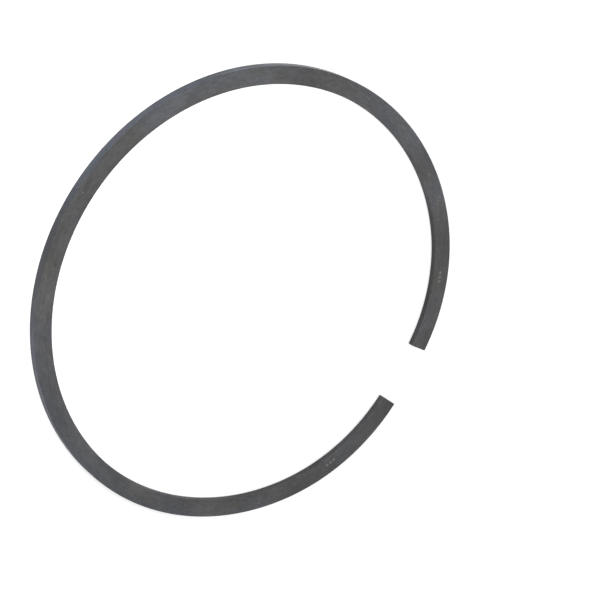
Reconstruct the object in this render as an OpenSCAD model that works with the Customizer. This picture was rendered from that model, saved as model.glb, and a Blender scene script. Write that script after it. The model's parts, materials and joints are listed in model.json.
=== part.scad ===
// Compression ring of an engine piston, drawn in its free state: one split ring of cast iron.
// Millimetres. The ring lies flat, with its lower flank on z = 0 and the axis of its back along Z.
// The end gap opens on the diagonal between +X and -Y.

/* [Cylinder] */
// Bore of the cylinder that the ring springs closed in
bore_d = 86; // [70:0.5:110]

/* [Section] */
// Radial wall, from the running face to the inner face
radial_wall = 3.5; // [2.4:0.05:5]
// Axial height, from the lower flank to the upper flank
axial_h = 2; // [1.5:0.05:3]
// Chamfer on both edges of the running face
outer_break = 0.08; // [0.05:0.01:0.4]
// Chamfer on the upper edge of the inner face
inner_break = 0.08; // [0.05:0.01:0.4]
// Wide bevel on the lower edge of the inner face, which lets the closed ring twist a little in its groove
inner_bevel = 0.7; // [0.3:0.05:1]

/* [Free form] */
// How much wider than the bore the back of the free ring is
back_growth = 3.95; // [1:0.05:8]
// How much narrower than the bore the curve of the two free ends is
tip_curl = 4.8; // [1:0.1:10]
// Width of the open end gap, across the middle of the wall
free_gap = 12; // [3:0.5:25]

/* [Hidden] */
// The back of the ring is one arc of three quarters of a turn, from +X round to -Y
back_r = (bore_d + back_growth) / 2;
back_sweep = 270;
// Half of the turn that is left, between the end of the back and the middle of the gap
half_open = (360 - back_sweep) / 2;
// Each end is a tighter arc that runs on smoothly from the back, so its centre lies off the axis
tip_r = (bore_d - tip_curl) / 2;
tip_shift = back_r - tip_r;
tip_mid_r = tip_r - radial_wall / 2;
// It runs on until the middle of its cut face stands half a gap from the diagonal
tip_sweep = half_open - asin((free_gap / 2 - tip_shift * sin(half_open)) / tip_mid_r);
$fn = 240;

// Section through the wall, with the running face at radius r, its edges broken and its lower inner edge bevelled
module wall_section(r) {
    inner_r = r - radial_wall;
    polygon([
        [inner_r + inner_bevel, 0],
        [r - outer_break, 0],
        [r, outer_break],
        [r, axial_h - outer_break],
        [r - outer_break, axial_h],
        [inner_r + inner_break, axial_h],
        [inner_r, axial_h - inner_break],
        [inner_r, inner_bevel]
    ]);
}

// A stretch of the ring about its own axis, from the angle first through sweep
module ring_arc(r, first, sweep) {
    rotate_extrude(angle = sweep, start = first) wall_section(r);
}

// The whole ring: its back, and the two ends that curl in towards the gap
module compression_ring() {
    color("dimgray") union() {
        ring_arc(back_r, 0, back_sweep);
        translate([tip_shift, 0, 0]) ring_arc(tip_r, -tip_sweep, tip_sweep);
        translate([0, -tip_shift, 0]) ring_arc(tip_r, back_sweep, tip_sweep);
    }
}

compression_ring();
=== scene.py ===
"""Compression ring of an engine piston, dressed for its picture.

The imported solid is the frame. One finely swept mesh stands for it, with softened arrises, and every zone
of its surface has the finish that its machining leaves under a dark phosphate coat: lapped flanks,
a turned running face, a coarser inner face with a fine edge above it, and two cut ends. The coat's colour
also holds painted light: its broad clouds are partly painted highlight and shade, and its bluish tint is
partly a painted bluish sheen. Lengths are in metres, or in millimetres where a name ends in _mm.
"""

from __future__ import annotations

import json
import logging
import math
from dataclasses import dataclass, field
from enum import Enum
from typing import Any, ClassVar, Union

import bmesh
import bpy
from mathutils import Matrix, Vector


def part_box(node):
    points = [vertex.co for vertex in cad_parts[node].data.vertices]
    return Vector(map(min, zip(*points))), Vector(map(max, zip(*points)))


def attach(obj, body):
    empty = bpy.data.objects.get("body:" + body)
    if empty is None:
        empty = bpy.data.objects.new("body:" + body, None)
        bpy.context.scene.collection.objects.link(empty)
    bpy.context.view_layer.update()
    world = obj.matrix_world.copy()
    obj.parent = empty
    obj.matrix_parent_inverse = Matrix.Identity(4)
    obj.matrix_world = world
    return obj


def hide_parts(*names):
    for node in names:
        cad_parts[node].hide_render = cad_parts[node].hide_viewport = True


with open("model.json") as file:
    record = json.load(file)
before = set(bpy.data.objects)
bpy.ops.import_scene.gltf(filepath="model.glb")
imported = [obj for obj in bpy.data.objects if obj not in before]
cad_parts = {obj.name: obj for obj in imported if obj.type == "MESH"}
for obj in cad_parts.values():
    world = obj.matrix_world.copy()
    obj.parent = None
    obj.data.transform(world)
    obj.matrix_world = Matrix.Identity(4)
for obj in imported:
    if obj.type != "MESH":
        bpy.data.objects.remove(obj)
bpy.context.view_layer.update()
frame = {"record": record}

LOG = logging.getLogger("compression_ring")
NODE = "compression_ring"
PIECE = "phosphated_ring"
BAR_ATTRIBUTE = "bar_mm"
MM = 0.001

Triple = tuple[float, float, float]
Colour = Triple
Settings = dict[str, Any]
Inputs = dict[Any, Any]
MeshPart = Union[bmesh.types.BMVert, bmesh.types.BMEdge, bmesh.types.BMFace]


class Zone(Enum):
    """Surfaces of the ring that are machined apart, in the order of the piece's material slots."""

    FLANK = 0
    RUNNING_FACE = 1
    INNER_FACE = 2
    INNER_EDGE = 3
    CUT_END = 4


class LineAxis(Enum):
    """How fast the tool lines change along the ring, across its wall and up its height."""

    ACROSS_WALL = (0.02, 1.0, 0.02)
    UP_WALL = (0.02, 0.02, 1.0)


@dataclass(frozen=True)
class Term:
    """A shader socket that takes part in Python arithmetic.

    Each expression adds its Math nodes to the graph that the socket belongs to.

    Attributes:
        graph: The graph that the socket belongs to.
        socket: The output that is read.
    """

    graph: ShaderGraph
    socket: bpy.types.NodeSocket

    def __add__(self, other: Number) -> Term:
        """Sum of two terms."""
        return self.graph.math("ADD", self, other)

    def __sub__(self, other: Number) -> Term:
        """Difference of two terms."""
        return self.graph.math("SUBTRACT", self, other)

    def __rsub__(self, other: Number) -> Term:
        """Difference with the number on the left."""
        return self.graph.math("SUBTRACT", other, self)

    def __mul__(self, other: Number) -> Term:
        """Product of two terms."""
        return self.graph.math("MULTIPLY", self, other)

    __radd__ = __add__
    __rmul__ = __mul__


Number = Union[Term, float]


class ShaderGraph:
    """Node tree of one material or of the world, written as expressions."""

    NOISE_ROUGHNESS = 0.55
    # Places of the Mix node's colour sockets, and of its colour result
    MIX_FACTOR = 0
    MIX_FIRST = 6
    MIX_SECOND = 7
    MIX_RESULT = 2

    def __init__(self, owner: bpy.types.ID) -> None:
        """Clears the owner's nodes.

        Args:
            owner: The material or world whose tree is written.
        """
        owner.use_nodes = True
        self.tree = owner.node_tree
        self.tree.nodes.clear()

    def node(
        self, kind: str, settings: Settings | None = None, inputs: Inputs | None = None
    ) -> bpy.types.Node:
        """Adds a node.

        Args:
            kind: The node's type, such as ShaderNodeBump.
            settings: The node's own properties, which are set first.
            inputs: Values or links of its sockets, by name or number.

        Returns:
            The new node.
        """
        made = self.tree.nodes.new(kind)
        for name, value in (settings or {}).items():
            setattr(made, name, value)
        for key, value in (inputs or {}).items():
            if isinstance(value, Term):
                self.tree.links.new(value.socket, made.inputs[key])
            else:
                made.inputs[key].default_value = value
        return made

    def term(
        self, kind: str, output: int | str, settings: Settings | None = None, inputs: Inputs | None = None
    ) -> Term:
        """Adds a node and gives one of its outputs.

        Args:
            kind: The node's type.
            output: Name or number of the output.
            settings: As for node.
            inputs: As for node.

        Returns:
            The output, ready for arithmetic.
        """
        return Term(self, self.node(kind, settings, inputs).outputs[output])

    def math(self, operation: str, *operands: Number) -> Term:
        """Adds one Math node.

        Args:
            operation: The node's operation.
            operands: Terms or numbers, in order.

        Returns:
            The result.
        """
        return self.term("ShaderNodeMath", 0, {"operation": operation}, dict(enumerate(operands)))

    def vector_math(self, operation: str, output: int | str, *operands: Term | Triple) -> Term:
        """Adds one Vector Math node.

        Args:
            operation: The node's operation.
            output: Name or number of the output that is read.
            operands: Terms or vectors, in order.

        Returns:
            The result.
        """
        settings = {"operation": operation}
        return self.term("ShaderNodeVectorMath", output, settings, dict(enumerate(operands)))

    def largest(self, first: Number, second: Number) -> Term:
        """The larger of two values."""
        return self.math("MAXIMUM", first, second)

    def smallest(self, first: Number, second: Number) -> Term:
        """The smaller of two values."""
        return self.math("MINIMUM", first, second)

    def ease(self, value: Number, low: float, high: float, start: float = 0.0, end: float = 1.0) -> Term:
        """Goes smoothly from start to end as a value goes from low to high.

        Args:
            value: The value that is read.
            low: Where the change starts.
            high: Where it ends.
            start: The result at low and before it.
            end: The result at high and past it.

        Returns:
            The eased value.
        """
        settings = {"interpolation_type": "SMOOTHSTEP", "clamp": True}
        inputs = {"Value": value, "From Min": low, "From Max": high, "To Min": start, "To Max": end}
        return self.term("ShaderNodeMapRange", "Result", settings, inputs)

    def blend(
        self, factor: Number, first: Term | Colour, second: Term | Colour, mode: str = "MIX"
    ) -> Term:
        """Mixes two colours.

        Args:
            factor: Share of the second colour.
            first: Colour at 0.
            second: Colour at 1.
            mode: Blend mode of the Mix node.

        Returns:
            The mixed colour.
        """
        settings = {"data_type": "RGBA", "blend_type": mode, "clamp_factor": True}
        inputs: Inputs = {self.MIX_FACTOR: factor}
        for key, colour in ((self.MIX_FIRST, first), (self.MIX_SECOND, second)):
            inputs[key] = colour if isinstance(colour, Term) else (*colour, 1.0)
        return self.term("ShaderNodeMix", self.MIX_RESULT, settings, inputs)

    def part(self, vector: Term, axis: int) -> Term:
        """One component of a vector, by the number of its axis."""
        return self.term("ShaderNodeSeparateXYZ", axis, None, {0: vector})

    def grey(self, level: Term) -> Term:
        """A grey of the given level."""
        return self.term("ShaderNodeCombineXYZ", 0, None, {0: level, 1: level, 2: level})

    def scaled(self, vector: Term, factors: Triple) -> Term:
        """Multiplies a vector by one factor along each axis."""
        return self.vector_math("MULTIPLY", 0, vector, factors)

    def moved(self, vector: Term, shift: float) -> Term:
        """Adds one offset along every axis of a vector."""
        return self.vector_math("ADD", 0, vector, (shift, shift, shift))

    def noise(self, vector: Term, size_mm: float, detail: float = 2.0, shift: float = 0.0) -> Term:
        """Adds a noise of about the given grain size.

        Args:
            vector: Coordinates in millimetres.
            size_mm: Size of its features.
            detail: Octaves of finer noise.
            shift: Offset that keeps two noises of one size apart.

        Returns:
            The noise, about 0.5 on average.
        """
        inputs = {
            "Vector": self.moved(vector, shift),
            "Scale": 1.0 / size_mm,
            "Detail": detail,
            "Roughness": self.NOISE_ROUGHNESS,
        }
        return self.term("ShaderNodeTexNoise", 0, {"noise_dimensions": "3D"}, inputs)


@dataclass(frozen=True)
class Arc:
    """One stretch of the ring about its own upright axis.

    Attributes:
        centre: Where the axis stands.
        outer_r: Radius of the running face.
        mid_r: Radius of the middle of the wall.
        first: Angle at its start.
        sweep: Angle that it covers.
        run_before: Length of the ring before it, along the middle of the wall.
    """

    centre: Vector
    outer_r: float
    mid_r: float
    first: float
    sweep: float
    run_before: float

    def point(self, radius: float, angle: float, z: float) -> Vector:
        """A point of the stretch, from its radius, its angle and its height."""
        return self.centre + Vector((radius * math.cos(angle), radius * math.sin(angle), z))

    def straighten(self, point: Vector) -> Vector:
        """Unrolls a point of the stretch.

        Args:
            point: A point in the part's frame.

        Returns:
            Its run along the ring, its place across the wall from the running face, and its height.
        """
        spoke = point - self.centre
        middle = self.first + self.sweep / 2
        angle = math.atan2(spoke.y, spoke.x)
        turned = math.remainder(angle - middle, math.tau) + self.sweep / 2
        across = spoke.to_2d().length - self.outer_r
        return Vector((self.run_before + turned * self.mid_r, across, point.z))


@dataclass(frozen=True)
class RingForm:
    """Sizes of the free ring.

    Attributes:
        back_r: Radius of the running face over the back.
        axial_h: Height from flank to flank.
        tip_r: Radius of the running face over the two ends.
        radial_wall: Wall from the running face to the inner face.
        free_gap: Width of the end gap, across the middle of the wall.
        outer_break: Rounding of both edges of the running face.
        inner_break: Chamfer on the upper edge of the inner face.
        inner_bevel: Wide bevel on the lower edge of the inner face.
        inner_round: Rounding of the corners beside that chamfer and that bevel.
        end_break: Rounding of the edges of the cut ends.
        back_sweep: Angle of the back.
    """

    back_r: float
    axial_h: float
    tip_r: float = 40.6 * MM
    radial_wall: float = 3.5 * MM
    free_gap: float = 12.0 * MM
    outer_break: float = 0.08 * MM
    inner_break: float = 0.08 * MM
    inner_bevel: float = 0.7 * MM
    inner_round: float = 0.03 * MM
    end_break: float = 0.07 * MM
    back_sweep: float = math.radians(270)

    @classmethod
    def from_frame(cls) -> RingForm:
        """Takes the running face's radius and the ring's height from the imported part.

        Returns:
            The sizes of the ring.
        """
        mounts = {mount["name"]: mount for mount in frame["record"]["mounts"]}
        low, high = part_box(NODE)
        return cls(back_r=mounts["running_face"]["dims"]["r_mm"] * MM, axial_h=high[2] - low[2])

    @property
    def tip_shift(self) -> float:
        """Distance of each end's centre from the axis of the back."""
        return self.back_r - self.tip_r

    @property
    def tip_sweep(self) -> float:
        """Angle of each end, up to its cut face.

        Returns:
            The angle at which the middle of the cut face stands half a gap from the diagonal.
        """
        half_open = math.pi - self.back_sweep / 2
        reach = self.free_gap / 2 - self.tip_shift * math.sin(half_open)
        return half_open - math.asin(reach / (self.tip_r - self.radial_wall / 2))

    def arcs(self) -> tuple[Arc, Arc, Arc]:
        """The stretches of the ring, in the order that the sweep makes them.

        Returns:
            The first end, the back and the second end.
        """
        half_wall = self.radial_wall / 2
        tip_mid = self.tip_r - half_wall
        back_mid = self.back_r - half_wall
        tip_run = self.tip_sweep * tip_mid
        back_run = self.back_sweep * back_mid
        first_centre = Vector((self.tip_shift, 0.0, 0.0))
        second_centre = Vector((0.0, -self.tip_shift, 0.0))
        return (
            Arc(first_centre, self.tip_r, tip_mid, -self.tip_sweep, self.tip_sweep, 0.0),
            Arc(Vector(), self.back_r, back_mid, 0.0, self.back_sweep, tip_run),
            Arc(second_centre, self.tip_r, tip_mid, self.back_sweep, self.tip_sweep, tip_run + back_run),
        )

    @property
    def run(self) -> float:
        """Length of the ring along the middle of its wall."""
        last = self.arcs()[-1]
        return last.run_before + last.sweep * last.mid_r


@dataclass(frozen=True)
class DotRow:
    """A short row of etched orientation dots along the upper flank.

    Attributes:
        run_mm: Run of its middle from one end of the ring.
        across_mm: Its distance from the running face.
        from_far_end: Whether the run is measured from the second end.
        count: Number of dots.
        pitch_mm: Distance from dot to dot.
        radius_mm: Radius of a dot.
        softness: Share of the radius over which a dot's edge fades, to both sides.
    """

    run_mm: float
    across_mm: float
    from_far_end: bool = False
    count: int = 3
    pitch_mm: float = 0.9
    radius_mm: float = 0.3
    softness: float = 0.25

    def centres(self, form: RingForm) -> list[Triple]:
        """Places the dots.

        Args:
            form: Sizes of the ring.

        Returns:
            Middle of each dot, in the ring's straightened coordinates.
        """
        middle = form.run / MM - self.run_mm if self.from_far_end else self.run_mm
        first = middle - self.pitch_mm * (self.count - 1) / 2
        top = form.axial_h / MM
        return [(first + self.pitch_mm * place, -self.across_mm, top) for place in range(self.count)]


@dataclass(frozen=True)
class CoatFinish:
    """Phosphate coat over one machined zone, with the traces of its tools.

    A tone is the share by which a pattern lightens or darkens the coat. A place is an offset that says
    where the noise behind a pattern lies. Edges are the values of a noise between which a pattern fades in.
    The broad clouds are partly painted highlight and shade, and the cool tint is partly a painted bluish
    sheen.

    Attributes:
        name: Name of the material.
        warm: Colour of the coat where it is neutral.
        cool: Colour of the coat where it is bluish, in random patches and where a bluish sheen is painted.
        roughness: Roughness of the bare pattern.
        line_axis: Direction in which the tool lines follow each other.
        line_pitch_mm: Distance from line to line.
        line_depth_mm: Depth of the lines.
        line_tone: Tone of the lines.
        grain_mm: Size of the crystals.
        grain_depth_mm: Height of the crystals.
        grain_tone: Tone of the crystals.
        streak_mm: Width of the short streaks.
        streak_tone: Tone of the streaks.
        patch_mm: Size of the patches of cooler tint.
        mottle_mm: Size of the mottling.
        mottle_tone: Tone of the mottling.
        light_and_coat_cloud_mm: Size of the broad clouds, which are partly random tone and partly painted
            highlight and shade.
        light_and_coat_cloud_tone: Tone of the clouds, painted highlight and shade included.
        light_and_coat_cloud_place: Place of the clouds, which sets where the painted highlight and shade
            fall.
        speck_tone: Cover of the bright specks.
        pit_tone: Cover of the dark pits.
        wear: Share of bare metal on the arrises.
        rim_sheen: Extra share of the cooler tint beside the running face, a painted bluish sheen.
        marks: Rows of etched dots.
    """

    name: str
    warm: Colour
    cool: Colour
    roughness: float
    line_axis: LineAxis
    line_pitch_mm: float
    line_depth_mm: float
    line_tone: float
    grain_mm: float = 0.2
    grain_depth_mm: float = 0.006
    grain_tone: float = 0.64
    streak_mm: float = 0.55
    streak_tone: float = 0.42
    patch_mm: float = 2.0
    mottle_mm: float = 5.0
    mottle_tone: float = 0.42
    light_and_coat_cloud_mm: float = 16.0
    light_and_coat_cloud_tone: float = 0.08
    light_and_coat_cloud_place: float = 47.0
    speck_tone: float = 0.3
    pit_tone: float = 0.45
    wear: float = 0.03
    rim_sheen: float = 0.0
    marks: tuple[DotRow, ...] = ()

    bare_iron: ClassVar[Colour] = (0.32, 0.32, 0.33)
    pit_floor: ClassVar[Colour] = (0.035, 0.034, 0.034)
    etched: ClassVar[Colour] = (0.21, 0.2, 0.18)
    etch_cover: ClassVar[float] = 0.55
    etch_grain: ClassVar[float] = 0.5

    tint_roughness: ClassVar[float] = 0.1
    grain_roughness: ClassVar[float] = 0.12
    wear_polish: ClassVar[float] = 0.16
    wear_metal: ClassVar[float] = 0.7
    specular_level: ClassVar[float] = 0.25

    streak_stretch: ClassVar[Triple] = (0.4, 1.0, 1.0)
    patch_stretch: ClassVar[Triple] = (0.45, 1.0, 1.0)
    texture_detail: ClassVar[float] = 3.0
    line_place: ClassVar[float] = 3.0
    patch_place: ClassVar[float] = 11.0
    mottle_place: ClassVar[float] = 59.0
    streak_place: ClassVar[float] = 71.0

    cloud_edges: ClassVar[tuple[float, float]] = (0.36, 0.64)
    patch_edges: ClassVar[tuple[float, float]] = (0.34, 0.66)
    patch_shares: ClassVar[tuple[float, float]] = (0.1, 0.75)
    rim_sheen_reach_mm: ClassVar[float] = 1.3
    # Broad clouds of the cooler tint, placed to paint a bluish sheen, partly random tint.
    sheen_and_tint_cloud_mm: ClassVar[float] = 14.0
    sheen_and_tint_place: ClassVar[float] = 1997.0
    sheen_and_tint_swing: ClassVar[float] = 0.32

    rub_mm: ClassVar[float] = 1.6
    rub_detail: ClassVar[float] = 4.0
    rub_place: ClassVar[float] = 29.0
    rub_edges: ClassVar[tuple[float, float]] = (0.3, 0.7)
    rub_least: ClassVar[float] = 0.35
    rub_reach_mm: ClassVar[float] = 0.2
    rub_core_mm: ClassVar[float] = 0.05

    speck_spacing_mm: ClassVar[float] = 2.0
    speck_radius_mm: ClassVar[float] = 0.24
    speck_core: ClassVar[float] = 0.3
    speck_place: ClassVar[float] = 0.0
    pit_place: ClassVar[float] = 83.0

    def material(self, form: RingForm) -> bpy.types.Material:
        """Writes the material.

        Args:
            form: Sizes of the ring, which place the arrises and the marks.

        Returns:
            The finished material.
        """
        made = bpy.data.materials.new(self.name)
        graph = ShaderGraph(made)
        bar = graph.term("ShaderNodeAttribute", "Vector", {"attribute_name": BAR_ATTRIBUTE})
        lines = self._lines(graph, bar)
        grain = graph.noise(bar, self.grain_mm, self.texture_detail)
        tint = self._tint(graph, bar)
        wear = self._wear(graph, bar, form)
        specks = self._specks(graph, bar, self.speck_place)
        pits = self._specks(graph, bar, self.pit_place)
        dots = self._dots(graph, bar, form)
        coat = self._coat(graph, bar, tint, grain, lines)
        coat = graph.blend(pits * self.pit_tone, coat, self.pit_floor)
        coat = graph.blend(specks * self.speck_tone, coat, self.bare_iron)
        coat = graph.blend(wear, coat, self.bare_iron)
        if dots is not None:
            coat = graph.blend(dots * (self.etch_cover + self.etch_grain * grain), coat, self.etched)
        rough = self.roughness + self.tint_roughness * tint + self.grain_roughness * (grain - 0.5)
        height = lines * self.line_depth_mm + grain * self.grain_depth_mm
        bump = graph.term("ShaderNodeBump", 0, None, {"Strength": 1.0, "Distance": MM, "Height": height})
        shader = {
            "Base Color": coat,
            "Roughness": rough - self.wear_polish * wear,
            "Metallic": wear * self.wear_metal,
            "Normal": bump,
            "Specular IOR Level": self.specular_level,
        }
        surface = graph.term("ShaderNodeBsdfPrincipled", 0, None, shader)
        graph.node("ShaderNodeOutputMaterial", None, {"Surface": surface})
        return made

    def _lines(self, graph: ShaderGraph, bar: Term) -> Term:
        """Height of the fine tool lines that run along the ring, from 0 to 1."""
        stretched = graph.scaled(bar, self.line_axis.value)
        return graph.noise(stretched, self.line_pitch_mm, shift=self.line_place)

    def _light_and_coat_clouds(self, graph: ShaderGraph, bar: Term, size_mm: float, place: float) -> Term:
        """Broad clouds, from -1 to 1, of one size and at one place: partly random tone, partly painted
        highlight and shade.
        """
        return graph.ease(graph.noise(bar, size_mm, shift=place), *self.cloud_edges, -1.0, 1.0)

    def _tint(self, graph: ShaderGraph, bar: Term) -> Term:
        """Share of the cool tint, in patches and clouds, and more towards the running face. The clouds and
        the rise towards the running face paint a bluish sheen; the patches are random tint.

        Args:
            graph: The material's graph.
            bar: Straightened coordinates in millimetres.

        Returns:
            The share, from 0 to 1.
        """
        stretched = graph.scaled(bar, self.patch_stretch)
        patches = graph.noise(stretched, self.patch_mm, self.texture_detail, self.patch_place)
        clouds = self._light_and_coat_clouds(graph, bar, self.sheen_and_tint_cloud_mm, self.sheen_and_tint_place)
        # The cool tint rises towards the running face: painted bluish sheen.
        near_rim_sheen = graph.ease(graph.part(bar, 1), -self.rim_sheen_reach_mm, 0.0)
        rim = near_rim_sheen * (0.5 + 0.5 * clouds)
        share = graph.ease(patches, *self.patch_edges, *self.patch_shares)
        share = share + self.sheen_and_tint_swing * clouds + self.rim_sheen * rim
        return graph.smallest(graph.largest(share, 0.0), 1.0)

    def _wear(self, graph: ShaderGraph, bar: Term, form: RingForm) -> Term:
        """Bright rubbed metal along the arrises.

        On a face of the section one of the two distances is nought, so the larger one is the distance to
        the arris.

        Args:
            graph: The material's graph.
            bar: Straightened coordinates in millimetres.
            form: Sizes of the ring.

        Returns:
            Share of bare metal, from 0 to 1.
        """
        across = graph.part(bar, 1)
        up = graph.part(bar, 2)
        from_side = graph.smallest(0.0 - across, across + form.radial_wall / MM)
        from_flank = graph.smallest(up, form.axial_h / MM - up)
        from_arris = graph.largest(from_side, from_flank)
        rubbing = graph.noise(bar, self.rub_mm, self.rub_detail, self.rub_place)
        rubbed = graph.ease(rubbing, *self.rub_edges, self.rub_least, 1.0)
        return graph.ease(from_arris, self.rub_reach_mm, self.rub_core_mm) * rubbed * self.wear

    def _specks(self, graph: ShaderGraph, bar: Term, place: float) -> Term:
        """Sparse specks in the coat.

        Args:
            graph: The material's graph.
            bar: Straightened coordinates in millimetres.
            place: Offset that keeps two sets of specks apart.

        Returns:
            Mask of the specks.
        """
        settings = {"voronoi_dimensions": "3D", "feature": "F1"}
        inputs = {
            "Vector": graph.moved(bar, place),
            "Scale": 1.0 / self.speck_spacing_mm,
            "Randomness": 1.0,
        }
        distance = graph.term("ShaderNodeTexVoronoi", "Distance", settings, inputs)
        edge = self.speck_radius_mm / self.speck_spacing_mm
        return graph.ease(distance, edge, self.speck_core * edge)

    def _dots(self, graph: ShaderGraph, bar: Term, form: RingForm) -> Term | None:
        """Etched orientation dots on the upper flank.

        Args:
            graph: The material's graph.
            bar: Straightened coordinates in millimetres.
            form: Sizes of the ring.

        Returns:
            Mask of the dots, or None where the finish has none.
        """
        mask = None
        for row in self.marks:
            fade_mm = row.radius_mm * row.softness
            for centre in row.centres(form):
                apart = graph.vector_math("DISTANCE", "Value", bar, centre)
                dot = graph.ease(apart, row.radius_mm + fade_mm, row.radius_mm - fade_mm)
                mask = dot if mask is None else graph.largest(mask, dot)
        return mask

    def _coat(self, graph: ShaderGraph, bar: Term, tint: Term, grain: Term, lines: Term) -> Term:
        """Colour of the coat.

        Args:
            graph: The material's graph.
            bar: Straightened coordinates in millimetres.
            tint: Share of the cool tint, partly a painted bluish sheen.
            grain: Crystal grain, about 0.5.
            lines: Tool lines, about 0.5.

        Returns:
            The colour before wear.
        """
        mottled = graph.scaled(bar, self.patch_stretch)
        mottle = graph.noise(mottled, self.mottle_mm, shift=self.mottle_place)
        streaked = graph.scaled(bar, self.streak_stretch)
        streaks = graph.noise(streaked, self.streak_mm, self.texture_detail, self.streak_place)
        patterns = (
            (mottle, self.mottle_tone),
            (streaks, self.streak_tone),
            (grain, self.grain_tone),
            (lines, self.line_tone),
        )
        # Broad clouds lighten and darken the coat along the ring: partly random tone, partly painted
        # highlight and shade.
        tone = 1.0 + self.light_and_coat_cloud_tone * self._light_and_coat_clouds(graph, bar, self.light_and_coat_cloud_mm, self.light_and_coat_cloud_place)
        for pattern, strength in patterns:
            tone = tone * (1.0 + 2.0 * strength * (pattern - 0.5))
        return graph.blend(1.0, graph.blend(tint, self.warm, self.cool), graph.grey(tone), "MULTIPLY")


@dataclass
class CompressionRing:
    """The ring: one swept mesh with softened arrises, and a finish on each of its zones.

    Attributes:
        form: Sizes of the ring.
        finishes: Finish of each zone.
        steps_per_degree: Fineness of the sweep.
        corner_segments: Fineness of the section's rounded corners.
        end_segments: Fineness of the rounded edges of the cut ends.
        end_share: Share of an end's break within which a face belongs to the cut end.
        flank_slope: Steepest lean of a flank's face, as the height of its normal.
        edge_slope: The same between the inner edge and the inner face.
        flat_weight: Hold of the large faces over the shading of the small ones beside them.
        piece: The finished object.
    """

    form: RingForm
    finishes: dict[Zone, CoatFinish]
    steps_per_degree: float = 1.0
    corner_segments: int = 4
    end_segments: int = 2
    end_share: float = 0.9
    flank_slope: float = 0.9
    edge_slope: float = 0.35
    flat_weight: int = 100
    piece: bpy.types.Object | None = field(default=None, init=False)

    def build(self) -> None:
        """Sweeps the section round the three arcs and softens the cut ends."""
        mesh = bpy.data.meshes.new(PIECE)
        bm = bmesh.new()
        front = self._section(bm)
        for arc in self.form.arcs():
            front = self._sweep(bm, front, arc)
        self._soften_ends(bm)
        bmesh.ops.recalc_face_normals(bm, faces=bm.faces)
        self._mark_zones(bm)
        bm.to_mesh(mesh)
        bm.free()
        self.piece = bpy.data.objects.new(PIECE, mesh)
        bpy.context.scene.collection.objects.link(self.piece)
        flat = self.piece.modifiers.new("flat faces stay flat", "WEIGHTED_NORMAL")
        flat.weight = self.flat_weight
        flat.keep_sharp = True

    def dress(self) -> None:
        """Gives the ring its finishes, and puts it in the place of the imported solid."""
        for zone in Zone:
            self.piece.data.materials.append(self.finishes[zone].material(self.form))
        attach(self.piece, "root")
        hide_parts(NODE)
        LOG.info("piece %s with %d faces", self.piece.name, len(self.piece.data.polygons))

    def _section(self, bm: bmesh.types.BMesh) -> list[MeshPart]:
        """Draws the section at the first cut end, with its corners rounded.

        Args:
            bm: The mesh that is built, still empty.

        Returns:
            The section's face, edges and corners.
        """
        form = self.form
        arc = form.arcs()[0]
        inner_r = arc.outer_r - form.radial_wall
        places = (
            (arc.outer_r, 0.0),
            (arc.outer_r, form.axial_h),
            (inner_r + form.inner_break, form.axial_h),
            (inner_r, form.axial_h - form.inner_break),
            (inner_r, form.inner_bevel),
            (inner_r + form.inner_bevel, 0.0),
        )
        corners = [bm.verts.new(arc.point(radius, arc.first, z)) for radius, z in places]
        bm.faces.new(corners)
        for group, offset in ((corners[:2], form.outer_break), (corners[2:], form.inner_round)):
            bmesh.ops.bevel(
                bm, geom=group, offset=offset, affect="VERTICES",
                segments=self.corner_segments, profile=0.5, material=-1,
            )
        (section,) = bm.faces
        return [section, *section.edges, *section.verts]

    def _sweep(self, bm: bmesh.types.BMesh, front: list[MeshPart], arc: Arc) -> list[MeshPart]:
        """Carries the section along one arc.

        Args:
            bm: The mesh that is built.
            front: The section's face, edges and corners at the arc's start.
            arc: The arc to follow.

        Returns:
            The same at the arc's end.
        """
        steps = round(math.degrees(arc.sweep) * self.steps_per_degree)
        swept = bmesh.ops.spin(
            bm, geom=front, cent=arc.centre, axis=(0.0, 0.0, 1.0), dvec=(0.0, 0.0, 0.0),
            angle=arc.sweep, space=Matrix.Identity(4), steps=steps, use_merge=False,
        )
        return swept["geom_last"]

    def _soften_ends(self, bm: bmesh.types.BMesh) -> None:
        """Breaks the edges of the two cut ends, which are the only faces with many sides.

        Args:
            bm: The swept mesh.
        """
        quad_sides = 4
        rims = {edge for face in bm.faces if len(face.verts) > quad_sides for edge in face.edges}
        bmesh.ops.bevel(
            bm, geom=list(rims), offset=self.form.end_break, affect="EDGES",
            segments=self.end_segments, profile=0.5, material=-1, clamp_overlap=True,
        )

    def _arc_at(self, point: Vector) -> Arc:
        """Finds the arc that a point of the ring belongs to.

        Args:
            point: A point in the part's frame.

        Returns:
            The arc.
        """
        first_end, back, second_end = self.form.arcs()
        if point.x > 0.0 > point.y:
            return first_end if point.x + point.y > 0.0 else second_end
        return back

    def _mark_zones(self, bm: bmesh.types.BMesh) -> None:
        """Writes the straightened coordinates, and gives each face the slot of its zone.

        Args:
            bm: The finished mesh, with its normals outwards.
        """
        layer = bm.verts.layers.float_vector.new(BAR_ATTRIBUTE)
        for vert in bm.verts:
            vert[layer] = self._arc_at(vert.co).straighten(vert.co) / MM
        run_mm = self.form.run / MM
        for face in bm.faces:
            places = [vert[layer] for vert in face.verts]
            face.material_index = self._zone_of(face.normal.z, places, run_mm).value
            face.smooth = True

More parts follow.
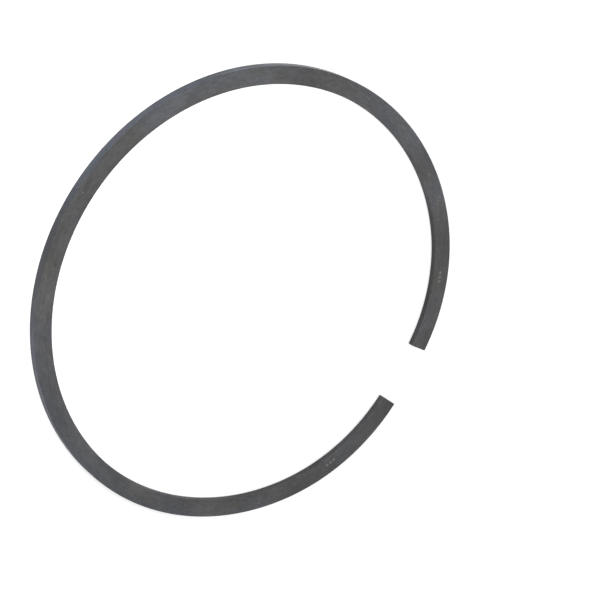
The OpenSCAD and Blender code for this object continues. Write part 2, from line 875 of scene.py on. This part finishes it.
    def _zone_of(self, slope: float, places: list[Vector], run_mm: float) -> Zone:
        """Finds the zone of a face.

        Args:
            slope: Height of its normal, which is 1 for a face that looks up.
            places: Straightened coordinates of its corners in millimetres.
            run_mm: Length of the ring.

        Returns:
            The zone.
        """
        end_reach_mm = self.end_share * self.form.end_break / MM
        mid_wall_mm = -self.form.radial_wall / MM / 2
        runs = [place.x for place in places]
        across = sum(place.y for place in places) / len(places)
        if max(runs) < end_reach_mm or min(runs) > run_mm - end_reach_mm:
            return Zone.CUT_END
        if abs(slope) > self.flank_slope:
            return Zone.FLANK
        if across > mid_wall_mm:
            return Zone.RUNNING_FACE
        return Zone.INNER_EDGE if slope > self.edge_slope else Zone.INNER_FACE


@dataclass(frozen=True)
class SoftBox:
    """A square studio light.

    Attributes:
        name: Name of the light.
        azimuth_deg: Direction of the light from the ring, from +X towards +Y.
        elevation_deg: Its height over the floor, as an angle.
        distance: Its distance from the ring's axis on the floor.
        size: Length of its sides.
        level: Brightness that it alone would give a white sheet held square to it at the ring.
    """

    name: str
    azimuth_deg: float
    elevation_deg: float
    distance: float
    size: float
    level: float

    def place(self) -> None:
        """Hangs the light and turns it to the ring."""
        azimuth = math.radians(self.azimuth_deg)
        elevation = math.radians(self.elevation_deg)
        level_out = math.cos(elevation)
        away = Vector((level_out * math.cos(azimuth), level_out * math.sin(azimuth), math.sin(elevation)))
        lamp = bpy.data.lights.new(self.name, "AREA")
        lamp.shape = "SQUARE"
        lamp.size = self.size
        lamp.energy = self.level * math.pi ** 2 * self.distance ** 2
        hung = bpy.data.objects.new(self.name, lamp)
        hung.location = away * self.distance
        hung.rotation_euler = away.to_track_quat("Z", "Y").to_euler()
        hung.visible_camera = False
        bpy.context.scene.collection.objects.link(hung)
        LOG.info("light %s at %s", self.name, tuple(round(value, 3) for value in hung.location))


@dataclass
class Studio:
    """Pale floor, white surround and soft lights.

    Attributes:
        lights: The lights.
        ambient: Brightness of the surround as a light on the ring.
        floor_size: Length of the floor's sides.
        floor_drop: Depth of the floor under the ring, which keeps the two surfaces apart.
        floor_colour: Colour of the floor.
        near_lift: Brightness that the floor has of its own beside the ring, where it keeps the shadow.
        far_lift: The same far from the ring, where it is white.
        lift_from: Distance from the ring's axis at which the floor starts to whiten.
        lift_to: Distance at which it is white.
    """

    lights: tuple[SoftBox, ...]
    ambient: float = 0.056
    floor_size: float = 3.0
    floor_drop: float = 0.02 * MM
    floor_colour: Colour = (0.8, 0.8, 0.8)
    near_lift: float = 0.55
    far_lift: float = 1.0
    lift_from: float = 0.08
    lift_to: float = 0.3

    def build(self) -> None:
        """Lays the floor, fills the surround and hangs the lights."""
        self._lay_floor()
        self._fill_surround()
        for light in self.lights:
            light.place()

    def _seen(self, graph: ShaderGraph) -> Term:
        """Tells the rays that show the background: from the camera, in gloss and through glass.

        Args:
            graph: The graph of the floor's material or of the world.

        Returns:
            One for those rays, and nought for the others.
        """
        path = graph.node("ShaderNodeLightPath")
        names = ("Is Camera Ray", "Is Glossy Ray", "Is Transmission Ray")
        camera, glossy, through = (Term(graph, path.outputs[name]) for name in names)
        return graph.largest(graph.largest(camera, glossy), through)

    def _lay_floor(self) -> None:
        """Lays a plain sheet just under the ring."""
        mesh = bpy.data.meshes.new("floor")
        bm = bmesh.new()
        low = Matrix.Translation((0.0, 0.0, -self.floor_drop))
        bmesh.ops.create_grid(bm, x_segments=1, y_segments=1, size=self.floor_size / 2, matrix=low)
        bm.to_mesh(mesh)
        bm.free()
        floor = bpy.data.objects.new("floor", mesh)
        bpy.context.scene.collection.objects.link(floor)
        floor.data.materials.append(self._floor_material())
        LOG.info("floor of %.1f m", self.floor_size)

    def _floor_material(self) -> bpy.types.Material:
        """Writes the floor's matte material, which stays white where the lights don't reach.

        Returns:
            The finished material.
        """
        sheet = bpy.data.materials.new("pale_floor")
        graph = ShaderGraph(sheet)
        matte = graph.term("ShaderNodeBsdfDiffuse", 0, None, {"Color": (*self.floor_colour, 1.0)})
        away = graph.vector_math("LENGTH", "Value", graph.term("ShaderNodeTexCoord", "Object"))
        lift = graph.ease(away, self.lift_from, self.lift_to, self.near_lift, self.far_lift)
        glow = graph.term("ShaderNodeEmission", 0, None, {"Color": graph.grey(self._seen(graph) * lift)})
        lifted = graph.term("ShaderNodeAddShader", 0, None, {0: matte, 1: glow})
        graph.node("ShaderNodeOutputMaterial", None, {"Surface": lifted})
        return sheet

    def _fill_surround(self) -> None:
        """Fills the surround: even light on the object, and white where the background shows."""
        world = bpy.data.worlds.new("studio")
        bpy.context.scene.world = world
        graph = ShaderGraph(world)
        seen = self._seen(graph)
        strength = seen + (1.0 - seen) * self.ambient
        white = (1.0, 1.0, 1.0, 1.0)
        surround = graph.term("ShaderNodeBackground", 0, None, {"Color": white, "Strength": strength})
        graph.node("ShaderNodeOutputWorld", None, {"Surface": surround})


@dataclass(frozen=True)
class PhotoCamera:
    """Camera at the photograph's viewing angle, for a square picture.

    Attributes:
        aim: Point on the floor that the camera looks at.
        azimuth_deg: Direction of the camera from there, from -Y towards +X.
        elevation_deg: Its height over the floor, as an angle.
        roll_deg: Its turn about its line of sight.
        distance: Its distance from the aim.
        lens_mm: Focal length of its lens.
    """

    aim: Vector
    azimuth_deg: float
    elevation_deg: float
    roll_deg: float
    distance: float
    lens_mm: float

    near_share: ClassVar[float] = 0.01

    def place(self) -> None:
        """Makes the camera and gives it to the scene."""
        azimuth = math.radians(self.azimuth_deg)
        elevation = math.radians(self.elevation_deg)
        level_out = math.cos(elevation)
        back = Vector((math.sin(azimuth) * level_out, -math.cos(azimuth) * level_out, math.sin(elevation)))
        right = Vector((0.0, 0.0, 1.0)).cross(back).normalized()
        level = Matrix((right, back.cross(right), back)).transposed().to_4x4()
        turn = Matrix.Rotation(math.radians(self.roll_deg), 4, "Z")
        data = bpy.data.cameras.new("photo_camera")
        data.lens = self.lens_mm
        data.clip_start = self.distance * self.near_share
        camera = bpy.data.objects.new("photo_camera", data)
        camera.matrix_world = Matrix.Translation(self.aim + back * self.distance) @ level @ turn
        bpy.context.scene.collection.objects.link(camera)
        bpy.context.scene.camera = camera
        LOG.info("camera at %s", tuple(round(value, 4) for value in camera.matrix_world.translation))


def ring_finishes() -> dict[Zone, CoatFinish]:
    """Chooses the finish of each zone of the ring.

    Returns:
        The finishes, by zone.
    """
    marks = (
        DotRow(run_mm=15.2, across_mm=1.9),
        DotRow(run_mm=17.3, across_mm=2.1, from_far_end=True),
    )
    return {
        Zone.FLANK: CoatFinish(
            name="lapped_flank",
            warm=(0.0889, 0.0881, 0.0865), cool=(0.0832, 0.086, 0.0956), roughness=0.42,
            line_axis=LineAxis.ACROSS_WALL, line_pitch_mm=0.16, line_depth_mm=0.0015, line_tone=0.12,
            # The flank's clouds are placed darker along some 200 to 240 mm of the ring: partly painted
            # shade there. The rim tint is a painted bluish sheen.
            light_and_coat_cloud_mm=14.0, light_and_coat_cloud_tone=0.109, light_and_coat_cloud_place=1994.0, rim_sheen=0.7, marks=marks,
        ),
        Zone.RUNNING_FACE: CoatFinish(
            # Both colours are bluish: a painted bluish sheen over the coat's grey. The clouds are placed
            # lighter and darker along the ring: painted highlight and shade, partly random tone.
            name="turned_running_face",
            warm=(0.0644, 0.0709, 0.0876), cool=(0.0593, 0.0709, 0.0992), roughness=0.4,
            line_axis=LineAxis.UP_WALL, line_pitch_mm=0.12, line_depth_mm=0.004, line_tone=0.25,
            light_and_coat_cloud_mm=14.0, light_and_coat_cloud_tone=0.391, light_and_coat_cloud_place=286.5,
        ),
        Zone.INNER_FACE: CoatFinish(
            name="turned_inner_face",
            # The clouds are placed lighter and darker along the ring: partly painted light and shade,
            # partly random tone.
            warm=(0.0535, 0.053, 0.0535), cool=(0.0516, 0.0511, 0.0592), roughness=0.55,
            line_axis=LineAxis.UP_WALL, line_pitch_mm=0.2, line_depth_mm=0.006, line_tone=0.3,
            light_and_coat_cloud_mm=24.0, light_and_coat_cloud_tone=0.279, light_and_coat_cloud_place=1414.5, speck_tone=0.2,
        ),
        Zone.INNER_EDGE: CoatFinish(
            name="turned_inner_edge",
            warm=(0.0685, 0.068, 0.067), cool=(0.0655, 0.0655, 0.072), roughness=0.45,
            line_axis=LineAxis.UP_WALL, line_pitch_mm=0.12, line_depth_mm=0.002, line_tone=0.2,
            speck_tone=0.2,
        ),
        Zone.CUT_END: CoatFinish(
            name="cut_end",
            warm=(0.062, 0.06, 0.058), cool=(0.058, 0.06, 0.065), roughness=0.48,
            line_axis=LineAxis.UP_WALL, line_pitch_mm=0.1, line_depth_mm=0.004, line_tone=0.25,
        ),
    }


def photo_studio() -> Studio:
    """Sets up the lights of the picture.

    Returns:
        A near key and a low light on one side, and a side light and a weak fill opposite.
    """
    return Studio(
        lights=(
            SoftBox("key", azimuth_deg=130, elevation_deg=65, distance=0.20, size=0.12, level=0.75),
            SoftBox("low", azimuth_deg=70, elevation_deg=20, distance=0.20, size=0.12, level=0.31),
            SoftBox("side", azimuth_deg=-20, elevation_deg=18, distance=0.30, size=0.16, level=0.29),
            SoftBox("fill", azimuth_deg=260, elevation_deg=50, distance=0.30, size=0.16, level=0.06),
        )
    )


def photo_camera() -> PhotoCamera:
    """Sets up the camera of the picture.

    Returns:
        The camera that gives the ring the outline that it has in the photograph.
    """
    return PhotoCamera(
        aim=Vector((10.832, -5.721, 0.0)) * MM,
        azimuth_deg=-139.351, elevation_deg=52.998, roll_deg=122.698,
        distance=461.462 * MM, lens_mm=143.762,
    )


def main() -> None:
    """Builds the camera, the studio and the ring, in that order."""
    logging.basicConfig(level=logging.INFO, format="%(name)s: %(message)s")
    bpy.context.scene.view_settings.view_transform = "Standard"
    photo_camera().place()
    photo_studio().build()
    ring = CompressionRing(RingForm.from_frame(), ring_finishes())
    ring.build()
    ring.dress()


if __name__ == "__main__":
    main()
